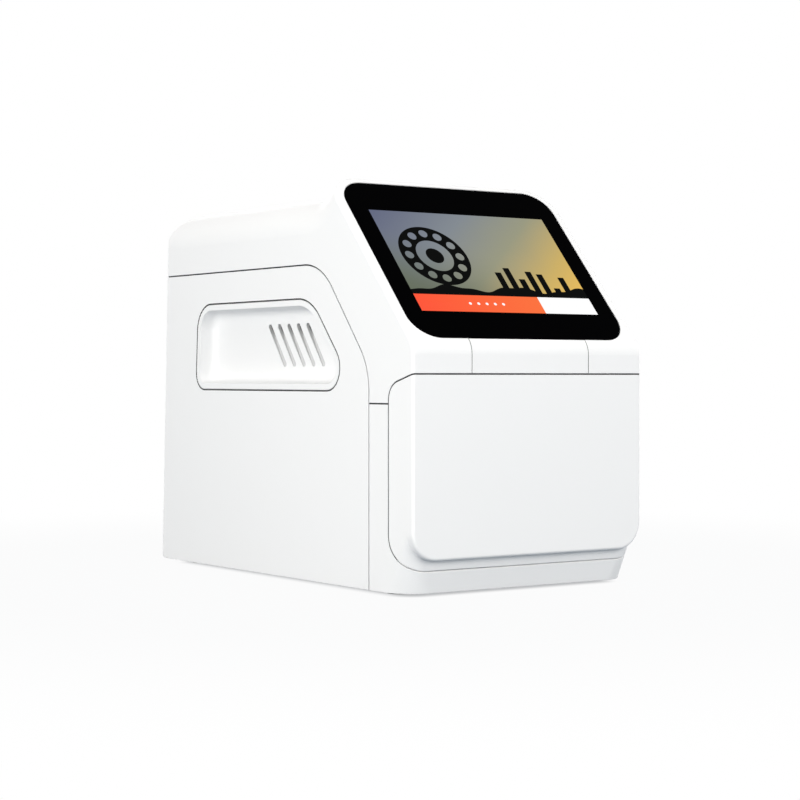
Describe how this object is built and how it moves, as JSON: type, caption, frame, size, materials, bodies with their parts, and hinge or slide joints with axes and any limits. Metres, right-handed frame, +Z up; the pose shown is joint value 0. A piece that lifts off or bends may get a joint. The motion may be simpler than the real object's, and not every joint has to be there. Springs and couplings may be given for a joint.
{
  "type": "chemistry analyzer",
  "caption": "Bench-top chemistry analyzer with a sloped touch display, a paper door above a motor-driven sample drawer, grip recesses and inner optics.",
  "frame": {"origin": "on the table under the middle of the case", "axes": "+Z up, -Y towards the user and the drawer front, +X to the user's right"},
  "size_m": [0.194, 0.3418, 0.2799],
  "materials": {
    "white_case": "fine satin texture",
    "black_glass": "polished black",
    "display": "lit screen",
    "sheet_steel": "zinc plated",
    "screw_steel": "plated",
    "machined_aluminium": "anodised",
    "motor_metal": "satin dark",
    "black_plastic": "moulded",
    "grey_plastic": "moulded",
    "gear_plastic": "natural",
    "circuit_board": "lacquered",
    "dark_rubber": "soft"
  },
  "bodies": {
    "case": {"front_frame": "white_case", "left_side_panel": "white_case", "right_side_panel": "white_case", "top_cover": "white_case", "rear_panel": "white_case", "base_plate": "sheet_steel", "rubber_feet": "dark_rubber", "left_grip_insert": "white_case", "right_grip_insert": "white_case", "touch_glass": "black_glass", "lcd_panel": "display", "display_bracket": "sheet_steel", "hinge_pins": "sheet_steel", "print_head": "black_plastic", "printer_cradle": "black_plastic", "fan_frame": "black_plastic", "fan_guard": "black_plastic", "power_inlet": "black_plastic", "switch_bezel": "black_plastic", "port_board": "circuit_board", "left_chassis_bracket": "sheet_steel", "right_chassis_bracket": "sheet_steel", "left_guide_rail": "sheet_steel", "right_guide_rail": "sheet_steel", "drawer_motor": "motor_metal", "motor_bracket": "sheet_steel", "upper_shelf": "sheet_steel", "photometer_block": "machined_aluminium", "lamp_module": "motor_metal", "detector_module": "black_plastic", "heater_plate": "machined_aluminium", "main_board": "circuit_board", "power_supply": "sheet_steel", "home_sensor": "black_plastic", "rear_screws": "screw_steel", "fan_screws": "screw_steel", "base_screws": "screw_steel", "board_screws": "screw_steel"},
    "drawer": {"drawer_front": "white_case", "drawer_chassis": "sheet_steel", "drawer_tray": "grey_plastic", "left_slide_bar": "machined_aluminium", "right_slide_bar": "machined_aluminium", "drawer_rack": "gear_plastic", "spindle_motor": "motor_metal", "front_screws": "screw_steel", "slide_screws": "screw_steel"},
    "turntable": {"disc_hub": "machined_aluminium"},
    "drive_gear": {"drive_pinion": "gear_plastic"},
    "paper_door": {"printer_door": "white_case"},
    "platen": {"platen_roller": "dark_rubber"},
    "fan": {"fan_rotor": "black_plastic"},
    "rocker": {"power_rocker": "black_plastic"}
  },
  "joints": [
    {"name": "drawer_slide", "type": "slide", "parent": "case", "child": "drawer", "axis": [0, -1, 0], "range_m": [0, 0.128]},
    {"name": "pinion_spin", "type": "hinge", "parent": "case", "child": "drive_gear", "pos_m": [-0.008, -0.1005, 0.0255], "axis": [1, 0, 0], "range_deg": [0, 740]},
    {"name": "disc_spin", "type": "hinge", "parent": "drawer", "child": "turntable", "pos_m": [0, -0.0915, 0.1085], "axis": [0, 0, 1], "continuous": true},
    {"name": "door_hinge", "type": "hinge", "parent": "case", "child": "paper_door", "pos_m": [0, -0.1669, 0.1502], "axis": [1, 0, 0], "range_deg": [0, 75]},
    {"name": "platen_spin", "type": "hinge", "parent": "paper_door", "child": "platen", "pos_m": [0, -0.1603, 0.1615], "axis": [1, 0, 0], "continuous": true},
    {"name": "fan_spin", "type": "hinge", "parent": "case", "child": "fan", "pos_m": [-0.03, 0.15436, 0.15196], "axis": [0, 0.9992, 0.041], "continuous": true},
    {"name": "rocker_tip", "type": "hinge", "parent": "case", "child": "rocker", "pos_m": [0.062, 0.16471, 0.07032], "axis": [1, 0, 0], "range_deg": [0, 14]}
  ],
  "couplings": [
    {"joint": "pinion_spin", "follows": "drawer_slide", "rad_per_m": 100}
  ]
}
